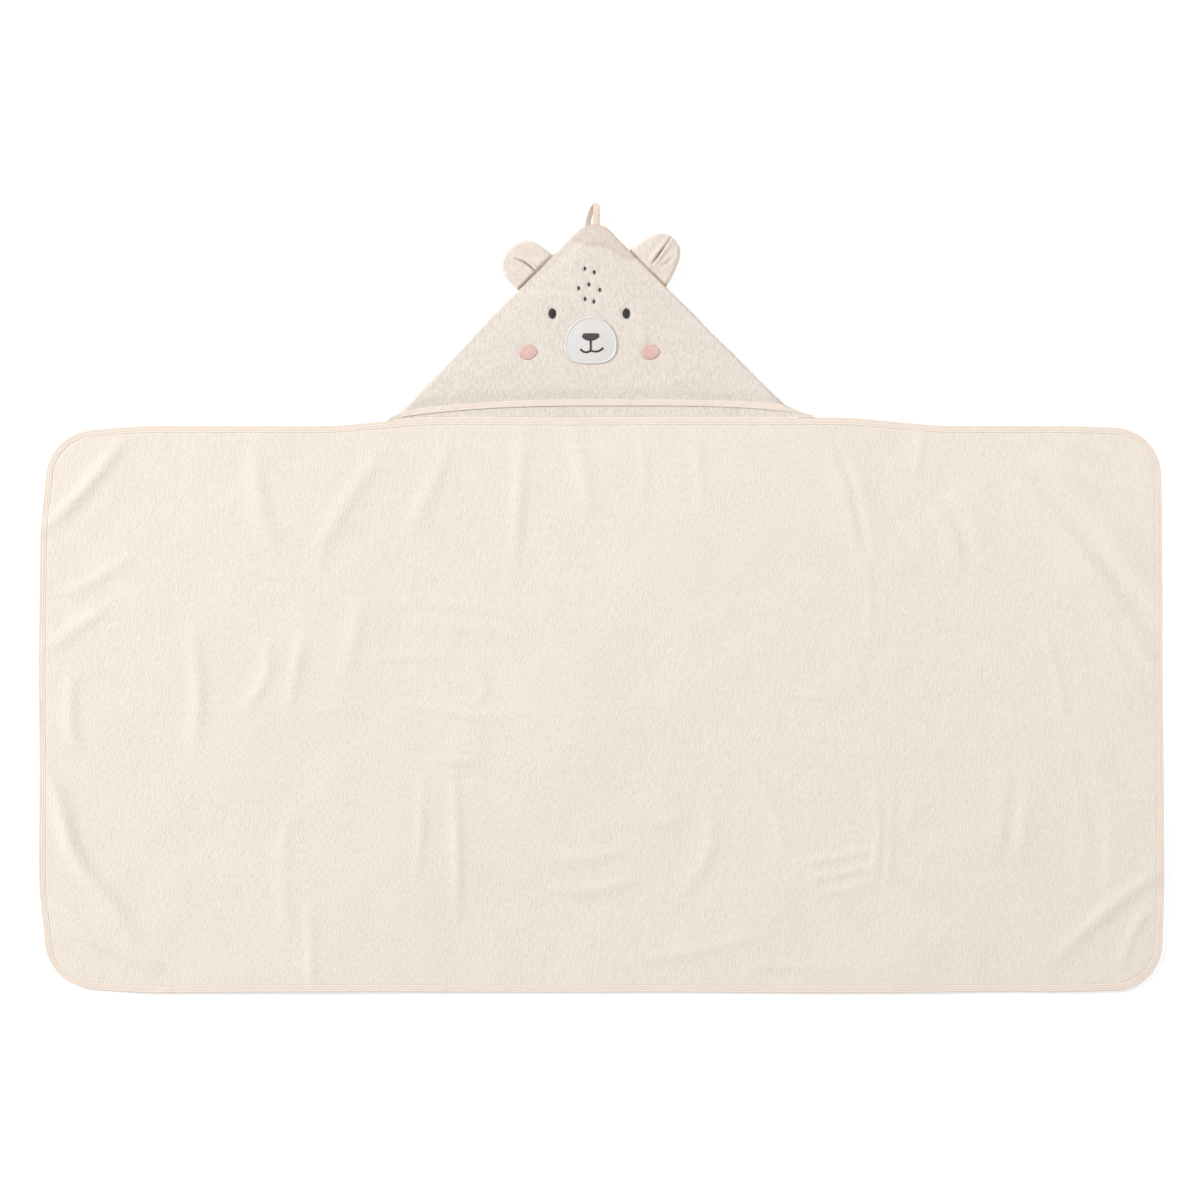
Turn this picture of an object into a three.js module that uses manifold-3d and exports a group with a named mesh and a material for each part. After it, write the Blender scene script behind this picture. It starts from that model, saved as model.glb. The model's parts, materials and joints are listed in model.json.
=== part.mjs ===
// A hooded baby towel, lying flat with its hood spread out above its long edge.
// Millimetres. +X runs along the towel, +Y towards the hood's tip, +Z up from the face it lies on.
// The origin is the centre of the underside of the whole outline.
//
// The towel is one terry panel with a folded tape bound over its edge. The hood is a back panel sewn
// to the towel's top edge and a front panel sewn to the back along its two slanted sides. The front's
// lower edge is bound and open, and it stands off the back, so that a head goes in under it.
// Two ears and a hanging loop are caught in the slanted seams, and a bear's face is sewn on the front.

import * as THREE from "three";
import { mergeVertices } from "three/addons/utils/BufferGeometryUtils.js";
import Module from "manifold-3d";

const wasm = await Module();
wasm.setup();

// ---------------------------------------------------------------- driving dimensions

const cloth = 3; // one terry layer with its pile
const gap = 0.3; // clearance between neighbouring solids

const towel = {
  length: 1200,
  width: 604,
  cornerRadius: 52,
  sideBow: 5, // how far the left side's ends are drawn in
  crown: 9.2, // how far the top edge is drawn up where the hood is sewn on
  crownCentre: 36,
  crownFlat: 206, // half length over which it is drawn up fully
  crownEnd: 346, // half length at which it has faded out
};

const binding = {
  width: 9, // the tape's visible width on each face
  wall: 0.6, // the tape's own thickness
};

const hood = {
  centreX: -8, // the hood sits a little left of the towel's middle
  height: 214.4, // from the towel's top edge to the rounded tip
  tipRadius: 24,
  seam: 3, // how far the front panel's slanted edges lie inside the back's
  standOff: 10, // room between front and back at the middle of the open edge
  openEdge: 21.2, // height of the open edge above the towel's top edge, at its middle
  openEdgeDroop: 10, // how much lower the open edge's ends are
  flareLeft: 6, // how far the back panel's lower corners spread along the towel's edge
  flareRight: 20,
};

const loop = {
  height: 23.3, // above the hood's tip
  width: 8,
  wall: 1.2, // the folded and sewn tape
  bendRadius: 3.6,
  stagger: 2.5, // how far each leg is set sideways from the middle
};

const ears = {
  layer: 2.85,
  bevel: 0.9,
  // along: distance from where the slanted sides would meet to the ear's middle, down the seam
  left: { side: -1, along: 87, base: 52, reach: 38.5 },
  right: { side: 1, along: 82, base: 56, reach: 42.5 },
};

const face = {
  centreX: -13,
  thread: 1, // how far embroidery and patches stand up
  eyes: { apart: 78.7, up: 97.7, width: 8.2, height: 10.8 },
  cheeks: { apart: 130.4, up: 56.6, width: 18, height: 16.4 },
  muzzle: { x: 1.6, up: 69.1, width: 55.6, height: 50, egg: 0.12, border: 2 },
  nose: { up: 72.5, width: 18.2, height: 8 },
  mouth: { top: 68.3, fork: 59, stroke: 1.8, left: 11, right: 13.2, sag: 4.6 },
  marks: {
    width: 2.5,
    height: 4.4,
    // sideways from the face's middle and up from the open edge, hand-placed like scattered freckles
    at: [[-4.8, 145.4], [5.2, 141.7], [-0.4, 128.6], [-11.3, 124.6], [11.2, 122.8], [-4.6, 113.1], [4.8, 110.4]],
  },
};

const grid = { step: 15, across: 32, down: 15 }; // cells of the curved front panel

// ---------------------------------------------------------------- places worked out from those

const overall = towel.width + hood.height + loop.height;
const bottomEdge = -overall / 2;
const topEdge = bottomEdge + towel.width;
const tipY = topEdge + hood.height;
const sidesMeetY = tipY + hood.tipRadius * (Math.SQRT2 - 1);
const openEdgeY = topEdge + hood.openEdge;
const frontBase = cloth + gap;

const colours = {
  terry: 0xf0e4d8,
  tape: 0xf6e6d6,
  loop: 0xefdccd,
  patch: 0xe9e4e0,
  patchEdge: 0xf4f0ec,
  charcoal: 0x46414a,
  pink: 0xebc3b9,
};

// ---------------------------------------------------------------- outlines

const radians = THREE.MathUtils.degToRad;

function arc(x, y, radius, from, to, steps = 10) {
  const points = [];
  for (let i = 0; i <= steps; i++) {
    const angle = radians(from + ((to - from) * i) / steps);
    points.push([x + radius * Math.cos(angle), y + radius * Math.sin(angle)]);
  }
  return points;
}

function between(from, to, steps, pointAt) {
  const points = [];
  for (let i = 0; i <= steps; i++) {
    points.push(pointAt(from + ((to - from) * i) / steps));
  }
  return points;
}

function ellipse(x, y, width, height, steps = 24) {
  const points = [];
  for (let i = 0; i < steps; i++) {
    const angle = (2 * Math.PI * i) / steps;
    points.push([x + (width / 2) * Math.cos(angle), y + (height / 2) * Math.sin(angle)]);
  }
  return points;
}

// The towel's top edge is drawn up a little along the hood.
function crownAt(x) {
  const off = Math.abs(x - towel.crownCentre);
  return towel.crown * (1 - THREE.MathUtils.smoothstep(off, towel.crownFlat, towel.crownEnd));
}

function topEdgeAt(x) {
  return topEdge + crownAt(x);
}

function towelOutline(inset) {
  const radius = towel.cornerRadius - inset;
  const cornerX = towel.length / 2 - towel.cornerRadius;
  const low = bottomEdge + towel.cornerRadius;
  const high = topEdge - towel.cornerRadius;
  const middle = (bottomEdge + topEdge) / 2;
  const bowed = ([x, y]) => [x + towel.sideBow * Math.abs((2 * (y - middle)) / towel.width) ** 4, y];
  const topSteps = 26;
  const sideSteps = 6;
  const topInner = cornerX - 12;
  const sideInner = high - 30;
  return [
    ...arc(cornerX, low, radius, -90, 0),
    ...arc(cornerX, high, radius, 0, 90),
    ...between(topInner, -topInner, topSteps, (x) => [x, topEdgeAt(x) - inset]),
    ...arc(-cornerX, high, radius, 90, 180).map(bowed),
    ...between(sideInner, 2 * middle - sideInner, sideSteps, (y) => [inset - towel.length / 2, y]).map(bowed),
    ...arc(-cornerX, low, radius, 180, 270).map(bowed),
  ];
}

// The rounded tip of the hood, from its right side over to its left.
function tipArc(inset) {
  const centreY = sidesMeetY - hood.tipRadius * Math.SQRT2;
  return arc(hood.centreX, centreY, hood.tipRadius - inset, 45, 135, 12);
}

// Where a slanted side, moved in by inset, reaches height y.
function sideX(side, inset, y) {
  return hood.centreX + side * (sidesMeetY - y - inset * Math.SQRT2);
}

// A lower corner of the back panel, spreading from the slanted side along the towel's edge.
function flare(side, length) {
  const cornerX = sideX(side, 0, topEdge + towel.crown);
  const corner = new THREE.Vector2(cornerX, topEdgeAt(cornerX) + gap);
  const endX = cornerX + side * length;
  const end = new THREE.Vector2(endX, topEdgeAt(endX) + gap);
  const start = new THREE.Vector2(corner.x - side * length, corner.y + length);
  const curve = new THREE.QuadraticBezierCurve(end, corner, start);
  return curve.getPoints(6).map((p) => [p.x, p.y]);
}

function hoodBackOutline() {
  const right = flare(1, hood.flareRight);
  const left = flare(-1, hood.flareLeft).reverse();
  const seamSteps = 14;
  const inner = 6;
  const seam = between(left.at(-1)[0] + inner, right[0][0] - inner, seamSteps, (x) => [x, topEdgeAt(x) + gap]);
  return [...seam, ...right, ...tipArc(0), ...left];
}

// Height of the front panel's open edge: straight in the middle, drooping to the seams.
function openEdgeAt(x) {
  const half = sideX(1, hood.seam, openEdgeY - hood.openEdgeDroop) - hood.centreX;
  const share = Math.abs(x - hood.centreX) / half;
  return openEdgeY - hood.openEdgeDroop * share ** 3;
}

// The front panel's outline, from rise above its open edge up to the tip.
function hoodFrontOutline(rise) {
  const endY = openEdgeY - hood.openEdgeDroop + rise;
  const left = sideX(-1, hood.seam, endY);
  const right = sideX(1, hood.seam, endY);
  return [...between(left, right, 24, (x) => [x, openEdgeAt(x) + rise]), ...tipArc(hood.seam)];
}

function muzzleOutline(inset) {
  const m = face.muzzle;
  const steps = 36;
  const points = [];
  for (let i = 0; i < steps; i++) {
    const angle = (2 * Math.PI * i) / steps;
    const across = Math.cos(angle) * (1 - m.egg * Math.sin(angle));
    const x = face.centreX + m.x + (m.width / 2 - inset) * across;
    points.push([x, openEdgeY + m.up + (m.height / 2 - inset) * Math.sin(angle)]);
  }
  return points;
}

// A nose with a flat top, round shoulders and a curved lower edge.
function noseOutline() {
  const x = face.centreX + face.muzzle.x;
  const y = openEdgeY + face.nose.up;
  const w = face.nose.width / 2;
  const h = face.nose.height / 2;
  const shape = new THREE.Shape();
  shape.moveTo(x - 0.65 * w, y + h);
  shape.lineTo(x + 0.65 * w, y + h);
  shape.bezierCurveTo(x + 1.1 * w, y + h, x + 1.1 * w, y, x + 0.6 * w, y - 0.6 * h);
  shape.quadraticCurveTo(x + 0.3 * w, y - h, x, y - h);
  shape.quadraticCurveTo(x - 0.3 * w, y - h, x - 0.6 * w, y - 0.6 * h);
  shape.bezierCurveTo(x - 1.1 * w, y, x - 1.1 * w, y + h, x - 0.65 * w, y + h);
  return shape.getPoints(6).map((p) => [p.x, p.y]);
}

// A line drawn with a broad thread: the outline of a strip along a curve.
function strokeOutline(curve, width, steps) {
  const one = [];
  const other = [];
  for (let i = 0; i <= steps; i++) {
    const p = curve.getPoint(i / steps);
    const along = curve.getTangent(i / steps);
    one.push([p.x - (along.y * width) / 2, p.y + (along.x * width) / 2]);
    other.unshift([p.x + (along.y * width) / 2, p.y - (along.x * width) / 2]);
  }
  return [...other.reverse(), ...one.reverse()];
}

function mouthStrokes() {
  const x = face.centreX + face.muzzle.x;
  const m = face.mouth;
  const fork = new THREE.Vector2(x, openEdgeY + m.fork);
  const top = new THREE.Vector2(x, openEdgeY + m.top);
  const smile = (reach, side) => {
    const low = new THREE.Vector2(x + (side * reach) / 2, fork.y - m.sag);
    const end = new THREE.Vector2(x + side * reach, fork.y + 1);
    return new THREE.QuadraticBezierCurve(fork, low, end);
  };
  return [
    strokeOutline(new THREE.LineCurve(fork, top), m.stroke, 1),
    strokeOutline(smile(m.left, -1), m.stroke, 8),
    strokeOutline(smile(m.right, 1), m.stroke, 8),
  ];
}

function earOutline(base, reach) {
  const shape = new THREE.Shape();
  shape.moveTo(-base / 2, 0);
  shape.lineTo(base / 2, 0);
  shape.bezierCurveTo(0.64 * base, 0.5 * reach, 0.42 * base, reach, 0, reach);
  shape.bezierCurveTo(-0.42 * base, reach, -0.64 * base, 0.5 * reach, -base / 2, 0);
  return shape;
}

// ---------------------------------------------------------------- solids

function solid(geometry) {
  geometry.deleteAttribute("normal");
  geometry.deleteAttribute("uv");
  const merged = mergeVertices(geometry, 1e-4);
  const mesh = new wasm.Mesh({
    numProp: 3,
    vertProperties: Float32Array.from(merged.attributes.position.array),
    triVerts: Uint32Array.from(merged.index.array),
  });
  return new wasm.Manifold(mesh);
}

function geometryOf(body) {
  const mesh = body.getMesh();
  const geometry = new THREE.BufferGeometry();
  geometry.setAttribute("position", new THREE.BufferAttribute(mesh.vertProperties, 3));
  geometry.setIndex(new THREE.BufferAttribute(mesh.triVerts, 1));
  geometry.computeVertexNormals();
  return geometry;
}

function plate(outline, low, high) {
  const shape = new THREE.Shape(outline.map(([x, y]) => new THREE.Vector2(x, y)));
  const geometry = new THREE.ExtrudeGeometry(shape, { depth: high - low, bevelEnabled: false });
  geometry.translate(0, 0, low);
  return solid(geometry);
}

// How far the hood's front stands off its back: nothing along the slanted seams and at the tip,
// most at the middle of the open edge.
function standOffAt(x, y) {
  const down = sidesMeetY - y;
  const across = Math.abs(x - hood.centreX);
  if (across >= down) return 0;
  return hood.standOff * (1 - (across / down) ** 2) * (down / (sidesMeetY - openEdgeY));
}

// A sheet that follows the hood's front, between two heights above the front panel's underside.
function frontSheet(low, high) {
  const geometry = new THREE.BoxGeometry(
    grid.across * grid.step, grid.down * grid.step, 1, grid.across, grid.down, 1);
  const middleY = sidesMeetY - (grid.down * grid.step) / 2;
  geometry.translate(hood.centreX, middleY, 0);
  const position = geometry.attributes.position;
  for (let i = 0; i < position.count; i++) {
    const lift = standOffAt(position.getX(i), position.getY(i));
    const level = position.getZ(i) > 0 ? high : low;
    position.setZ(i, frontBase + level + lift);
  }
  return solid(geometry);
}

const everywhere = [-10, 60]; // heights well below and above the hood, for cutting outlines right through

function onFront(outline, low, high) {
  return frontSheet(low, high).intersect(plate(outline, ...everywhere));
}

// ---------------------------------------------------------------- the pieces

const assembly = new THREE.Group();

function add(name, geometry, colour, parent = assembly) {
  const material = new THREE.MeshStandardMaterial({ color: colour, roughness: 0.95, metalness: 0 });
  const mesh = new THREE.Mesh(geometry, material);
  mesh.name = name;
  parent.add(mesh);
  return mesh;
}

// An edge inside a folded tape is pressed thinner, so the tape stays flush with the terry.
const slot = [binding.wall, cloth - binding.wall];
const rim = [slot[0] + gap, slot[1] - gap];

function addTowel() {
  const body = plate(towelOutline(binding.width + gap), 0, cloth);
  const edge = plate(towelOutline(binding.wall + gap), ...rim);
  add("towel_panel", geometryOf(body.add(edge)), colours.terry);

  const band = plate(towelOutline(0), 0, cloth).subtract(plate(towelOutline(binding.width), ...everywhere));
  const groove = plate(towelOutline(binding.wall), ...slot);
  add("towel_binding", geometryOf(band.subtract(groove)), colours.tape);
}

function addHood() {
  add("hood_back", geometryOf(plate(hoodBackOutline(), 0, cloth)), colours.terry);

  const body = onFront(hoodFrontOutline(binding.width + gap), 0, cloth);
  const edge = onFront(hoodFrontOutline(binding.wall + gap), ...rim);
  add("hood_front", geometryOf(body.add(edge)), colours.terry);

  const band = onFront(hoodFrontOutline(0), 0, cloth).subtract(plate(hoodFrontOutline(binding.width), ...everywhere));
  const groove = onFront(hoodFrontOutline(binding.wall), ...slot);
  add("hood_hem_binding", geometryOf(band.subtract(groove)), colours.tape);
}

function addFace() {
  const onTerry = [cloth + gap, cloth + gap + face.thread];
  const onPatch = [onTerry[1] + gap, onTerry[1] + gap + face.thread];
  const sew = (name, outline, levels, colour) => add(name, geometryOf(onFront(outline, ...levels)), colour);

  sew("muzzle_patch", muzzleOutline(0), onTerry, colours.patch);
  const border = onFront(muzzleOutline(0), ...onPatch)
    .subtract(plate(muzzleOutline(face.muzzle.border), ...everywhere));
  add("muzzle_border", geometryOf(border), colours.patchEdge);
  sew("nose", noseOutline(), onPatch, colours.charcoal);

  const strokes = mouthStrokes().map((outline) => onFront(outline, ...onPatch));
  add("mouth", geometryOf(strokes.reduce((all, stroke) => all.add(stroke))), colours.charcoal);

  for (const [side, sign] of [["left", -1], ["right", 1]]) {
    const eye = face.eyes;
    const cheek = face.cheeks;
    const eyeX = face.centreX + (sign * eye.apart) / 2;
    const cheekX = face.centreX + (sign * cheek.apart) / 2;
    sew(`eye_${side}`, ellipse(eyeX, openEdgeY + eye.up, eye.width, eye.height), onTerry, colours.charcoal);
    sew(`cheek_${side}`, ellipse(cheekX, openEdgeY + cheek.up, cheek.width, cheek.height), onTerry, colours.pink);
  }

  const mark = face.marks;
  mark.at.forEach(([x, up], i) => {
    const outline = ellipse(face.centreX + x, openEdgeY + up, mark.width, mark.height, 12);
    sew(`forehead_mark_${i + 1}`, outline, onTerry, colours.charcoal);
  });
}

// Each ear is two layers, a front and a back, standing out at right angles to the slanted seam.
function addEar(name, { side, along, base, reach }) {
  const group = new THREE.Group();
  const down = along / Math.SQRT2;
  const outward = 0.4;
  group.position.set(
    hood.centreX + side * (down + outward / Math.SQRT2), sidesMeetY - down + outward / Math.SQRT2, 0);
  group.rotation.z = (-side * Math.PI) / 4;
  assembly.add(group);

  const { layer, bevel } = ears;
  const outline = earOutline(base - 2 * bevel, reach - 2 * bevel);
  const layers = { back: 0, front: layer + gap };
  for (const [which, low] of Object.entries(layers)) {
    const geometry = new THREE.ExtrudeGeometry(outline, {
      depth: layer - 2 * bevel, bevelThickness: bevel, bevelSize: bevel, bevelSegments: 2, curveSegments: 12,
    });
    geometry.translate(0, bevel, low + bevel);
    add(`${name}_${which}`, geometryOf(solid(geometry)), colours.terry, group);
  }
}

// A tape folded over on itself, with its two legs set a little apart sideways.
function addHangingLoop() {
  const { height, width, wall, bendRadius, stagger } = loop;
  const straight = height - bendRadius - gap;
  const inner = bendRadius - wall;
  const profile = [
    [0, 0],
    ...arc(straight, bendRadius, bendRadius, -90, 90, 12),
    [0, 2 * bendRadius],
    [0, bendRadius + inner],
    ...arc(straight, bendRadius, inner, 90, -90, 12),
    [0, wall],
  ];
  // The profile's own x and y become the towel's Y and Z, and its depth becomes X.
  const shape = new THREE.Shape(profile.map(([y, z]) => new THREE.Vector2(y, z)));
  const geometry = new THREE.ExtrudeGeometry(shape, { depth: width, bevelEnabled: false });
  geometry.translate(0, 0, -width / 2);
  geometry.applyMatrix4(new THREE.Matrix4().makeBasis(
    new THREE.Vector3(0, 1, 0), new THREE.Vector3(0, 0, 1), new THREE.Vector3(1, 0, 0)));
  const position = geometry.attributes.position;
  for (let i = 0; i < position.count; i++) {
    const lean = (position.getZ(i) - bendRadius) / bendRadius;
    position.setX(i, position.getX(i) + stagger * lean);
  }
  const mesh = add("hanging_loop", geometryOf(solid(geometry)), colours.loop);
  mesh.position.set(hood.centreX, tipY + gap, 0);
}

addTowel();
addHood();
addFace();
addEar("ear_left", ears.left);
addEar("ear_right", ears.right);
addHangingLoop();

export default assembly;
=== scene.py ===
"""Hooded baby towel: the visual model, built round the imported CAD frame.

Everything is in metres in the row frame: +X along the towel, +Y towards the hood's tip, +Z up.
The towel lies on the floor at z = 0, seen from straight above.
"""

import json
import math

import bmesh
import bpy
import numpy as np
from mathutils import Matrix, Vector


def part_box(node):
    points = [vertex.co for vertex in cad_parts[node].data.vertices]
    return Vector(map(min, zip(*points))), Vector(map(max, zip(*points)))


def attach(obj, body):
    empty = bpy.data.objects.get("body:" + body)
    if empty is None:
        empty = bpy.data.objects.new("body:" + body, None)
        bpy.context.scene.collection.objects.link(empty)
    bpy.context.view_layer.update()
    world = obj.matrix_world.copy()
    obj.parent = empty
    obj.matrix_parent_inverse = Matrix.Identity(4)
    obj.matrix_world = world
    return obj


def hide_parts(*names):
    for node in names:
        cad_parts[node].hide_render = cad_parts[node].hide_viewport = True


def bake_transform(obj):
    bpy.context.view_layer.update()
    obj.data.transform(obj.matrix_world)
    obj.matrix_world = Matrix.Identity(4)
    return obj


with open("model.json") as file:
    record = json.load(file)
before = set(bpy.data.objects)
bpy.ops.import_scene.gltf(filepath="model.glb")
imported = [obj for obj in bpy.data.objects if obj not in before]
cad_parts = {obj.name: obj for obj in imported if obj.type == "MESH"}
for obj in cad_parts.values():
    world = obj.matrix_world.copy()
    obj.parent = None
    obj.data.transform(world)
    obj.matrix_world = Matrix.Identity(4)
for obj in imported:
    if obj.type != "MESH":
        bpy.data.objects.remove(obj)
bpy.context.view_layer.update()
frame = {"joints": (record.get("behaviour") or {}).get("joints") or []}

MM = 0.001

# ---------------- sizes, from the frame where it has them

joints = {joint["name"]: joint for joint in frame["joints"]}
edge_low, edge_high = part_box("towel_binding")
hood_back_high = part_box("hood_back")[1]

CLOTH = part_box("towel_panel")[1].z  # one terry layer
HALF_LENGTH = edge_high.x
BOTTOM_EDGE = edge_low.y
CORNER = 52 * MM
SIDE_BOW = 5 * MM  # how far the left side's ends are drawn in
RIGHT_BOW = 2.3 * MM  # how far the right side's upper part is drawn in
LEFT_TUCK = 4.5 * MM  # how far the corners are worn rounder than their plain arc
RIGHT_TUCK = 1.8 * MM
CROWN = 9.2 * MM  # how far the top edge is drawn up where the hood is sewn on
CROWN_X = 36 * MM
CROWN_FLAT = 206 * MM
CROWN_END = 346 * MM
TOP_EDGE = edge_high.y - CROWN
MIDDLE_Y = (BOTTOM_EDGE + TOP_EDGE) / 2
HALF_WIDTH = (TOP_EDGE - BOTTOM_EDGE) / 2

HOOD_X = joints["hood_fold"]["pos_m"][0]
TIP_Y = hood_back_high.y
TIP_RADIUS = 24 * MM
SIDES_MEET_Y = TIP_Y + TIP_RADIUS * (math.sqrt(2) - 1)
OPEN_EDGE_Y = TOP_EDGE + 21.0 * MM
HALF_OPEN_EDGE = 208.9 * MM
LEFT_DROOP = 12.5 * MM  # how far the open edge comes down at its two ends
RIGHT_DROOP = 6.7 * MM
STAND_OFF = 2.0 * MM  # most room between the hood's front and back
HOOD_BASE_Y = TOP_EDGE + CROWN

TAPE_WIDTH = 7.8 * MM
HEM_WIDER = 0.86  # the hood's tape against the towel's: its width and its thickness
HEM_THINNER = 0.36
TAPE_FOLD = 1.55 * MM  # height of the tape's folded edge
TAPE_WALL = 0.55 * MM
TAPE_TURN = 1.1 * MM  # how far in from its edge the tape is round
STITCH_ROWS = (2.9 * MM, 5.6 * MM)  # from the tape's folded edge
STITCH_RISE = 0.1 * MM  # the thread's middle above the tape


# ---------------- numbers

def eased(t):
    return t * t * (3 - 2 * t)


def smooth(x, low, high):
    """0 below low to 1 above high, with no corners."""
    return eased(np.clip((np.asarray(x, float) - low) / (high - low), 0, 1))


def mix(a, b, t):
    return a + (b - a) * t


def turn(steps):
    """Angles evenly round a circle."""
    return np.linspace(0, 2 * np.pi, steps, endpoint=False)


def bell(x, width):
    """1 at 0, and next to nothing from two widths away."""
    return np.exp(-((x / width) ** 2))


def powered(x, power):
    """A power that keeps its number's sign."""
    return np.sign(x) * np.abs(x) ** power


def split(points):
    return points[..., 0], points[..., 1]


def noise(x, y, size, seed):
    """Smooth noise from -1 to 1 with bumps about size across."""
    lattice = np.random.default_rng(seed).uniform(-1, 1, (64, 64))
    fx = np.asarray(x, float) / size + 17.3
    fy = np.asarray(y, float) / size + 31.7
    ix = np.floor(fx).astype(int)
    iy = np.floor(fy).astype(int)
    tx = eased(fx - ix)
    ty = eased(fy - iy)
    row = mix(lattice[ix % 64, iy % 64], lattice[(ix + 1) % 64, iy % 64], tx)
    next_row = mix(lattice[ix % 64, (iy + 1) % 64], lattice[(ix + 1) % 64, (iy + 1) % 64], tx)
    return mix(row, next_row, ty)


def wander(points, size, seed):
    """Sideways noise for each point, from -1 to 1 in x and in y."""
    x, y = split(points)
    return np.stack([noise(x, y, size, seed), noise(x, y, size, seed + 1)], -1)


def arc(x, y, radius, start, stop, steps):
    angle = np.radians(np.linspace(start, stop, steps + 1))
    return np.stack([x + radius * np.cos(angle), y + radius * np.sin(angle)], 1)


def through(points, per_span=8):
    """A smooth line through a few points."""
    p = np.asarray(points, float)
    p = np.vstack([2 * p[0] - p[1], p, 2 * p[-1] - p[-2]])
    line = []
    for i in range(1, len(p) - 2):
        t = np.linspace(0, 1, per_span, endpoint=False)[:, None]
        a, b, c, d = p[i - 1], p[i], p[i + 1], p[i + 2]
        bend = 2 * a - 5 * b + 4 * c - d
        twist = 3 * b - a - 3 * c + d
        line.append(0.5 * (2 * b + (c - a) * t + bend * t**2 + twist * t**3))
    line.append(p[-2][None])
    return np.vstack(line)


def near_line(x, y, line):
    """Signed distance from a line and the share of its length reached, for each point."""
    best = np.full(x.shape, np.inf)
    side = np.zeros(x.shape)
    share = np.zeros(x.shape)
    steps = np.linalg.norm(np.diff(line, axis=0), axis=1)
    reached = np.concatenate([[0], np.cumsum(steps)]) / steps.sum()
    for i, (a, b) in enumerate(zip(line[:-1], line[1:])):
        ab = b - a
        t = np.clip(((x - a[0]) * ab[0] + (y - a[1]) * ab[1]) / (ab @ ab), 0, 1)
        dx = x - a[0] - t * ab[0]
        dy = y - a[1] - t * ab[1]
        away = np.hypot(dx, dy)
        closer = away < best
        best = np.where(closer, away, best)
        side = np.where(closer, np.sign(ab[0] * dy - ab[1] * dx), side)
        share = np.where(closer, mix(reached[i], reached[i + 1], t), share)
    return best * side, share


def even_steps(line, step, closed=False):
    """Points and directions at even steps along a line."""
    if closed:
        line = np.vstack([line, line[:1]])
    lengths = np.linalg.norm(np.diff(line, axis=0), axis=1)
    reached = np.concatenate([[0], np.cumsum(lengths)])
    count = max(2, int(round(reached[-1] / step)))
    at = (np.arange(count) + 0.5) * reached[-1] / count
    points, ahead = (
        np.stack([np.interp(place, reached, values) for values in line.T], 1) for place in (at, at + step / 4)
    )
    along = ahead - points
    return points, along / np.linalg.norm(along, axis=1)[:, None]


# ---------------- how the cloth lies

FOLD_SOFTNESS = 0.4  # the share of each fold's height that is used

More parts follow.
